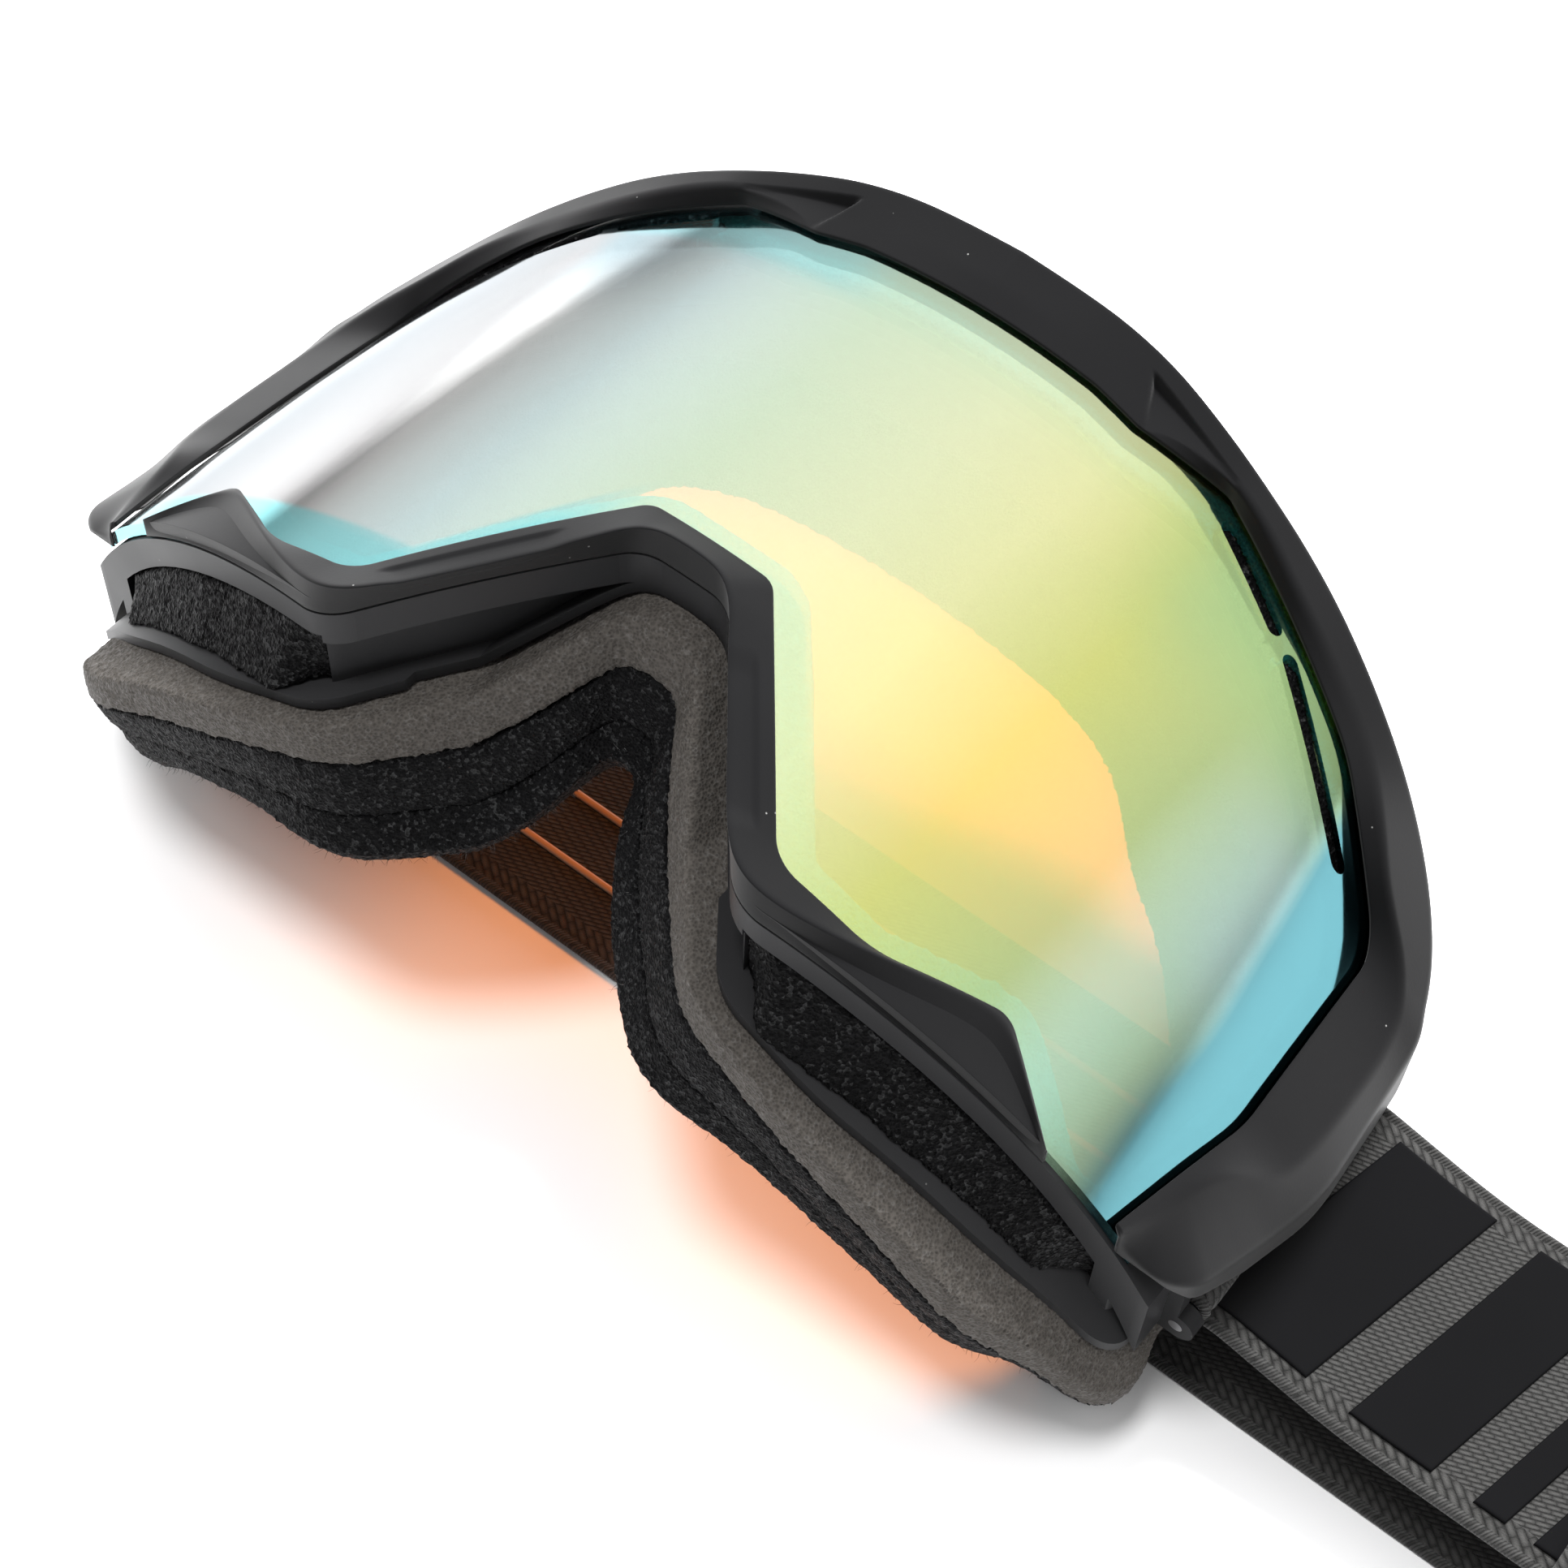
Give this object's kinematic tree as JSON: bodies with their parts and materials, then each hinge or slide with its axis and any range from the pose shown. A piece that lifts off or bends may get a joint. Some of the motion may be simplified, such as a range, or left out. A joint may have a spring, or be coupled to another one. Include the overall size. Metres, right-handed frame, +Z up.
{
  "type": "ski goggles",
  "caption": "Ski goggles with a mirrored double lens, removable covers, foam-lined flexible frame and an elastic strap folded flat beneath, with a sliding strap adjuster.",
  "frame": {"origin": "on the plane the goggles rest on, below the middle of the lens, on the underside of the strap", "axes": "+X from the left temple to the right one as seen from in front, +Y from the cheeks to the brow, +Z up out of the lens"},
  "size_m": [0.3265, 0.1067, 0.093],
  "materials": {
    "outer_lens": "mirror-coated polycarbonate, cyan to yellow-green",
    "inner_lens": "clear orange polycarbonate",
    "gasket_foam": "closed-cell foam gasket",
    "vent_foam": "open-cell black foam",
    "frame": "flexible urethane, satin",
    "pin": "steel wire",
    "cover": "soft-touch matte",
    "foam_base": "open-cell foam, brown grey",
    "foam_mid": "open-cell foam, grey",
    "foam_fleece": "black foam with a fleece face",
    "webbing": "twill elastic with corded edges",
    "buckle": "moulded, semi-gloss",
    "silicone": "clear silicone beads",
    "patch": "printed matt rubber"
  },
  "bodies": {
    "goggles": {"outer_lens": "outer_lens", "inner_lens": "inner_lens", "lens_gasket": "gasket_foam", "lens_vent_foam_right": "vent_foam", "lens_vent_foam_left": "vent_foam", "frame_body": "frame", "anchor_pin_right": "pin", "anchor_pin_left": "pin", "bottom_vent_foam_right": "vent_foam", "bottom_vent_foam_left": "vent_foam", "brow_vent_foam": "vent_foam", "brow_cover": "cover", "nose_cover": "cover", "face_foam_base": "foam_base", "face_foam_mid": "foam_mid", "face_foam_fleece": "foam_fleece", "strap_short": "webbing", "strap_long": "webbing", "strap_ring": "buckle", "strap_grip_beads": "silicone", "strap_patches": "patch"},
    "adjuster": {"strap_tail": "webbing", "strap_slider": "buckle"}
  },
  "joints": [
    {"name": "adjuster_slide", "type": "slide", "parent": "goggles", "child": "adjuster", "axis": [1, 0, 0], "range_m": [-0.008, 0.018]}
  ]
}
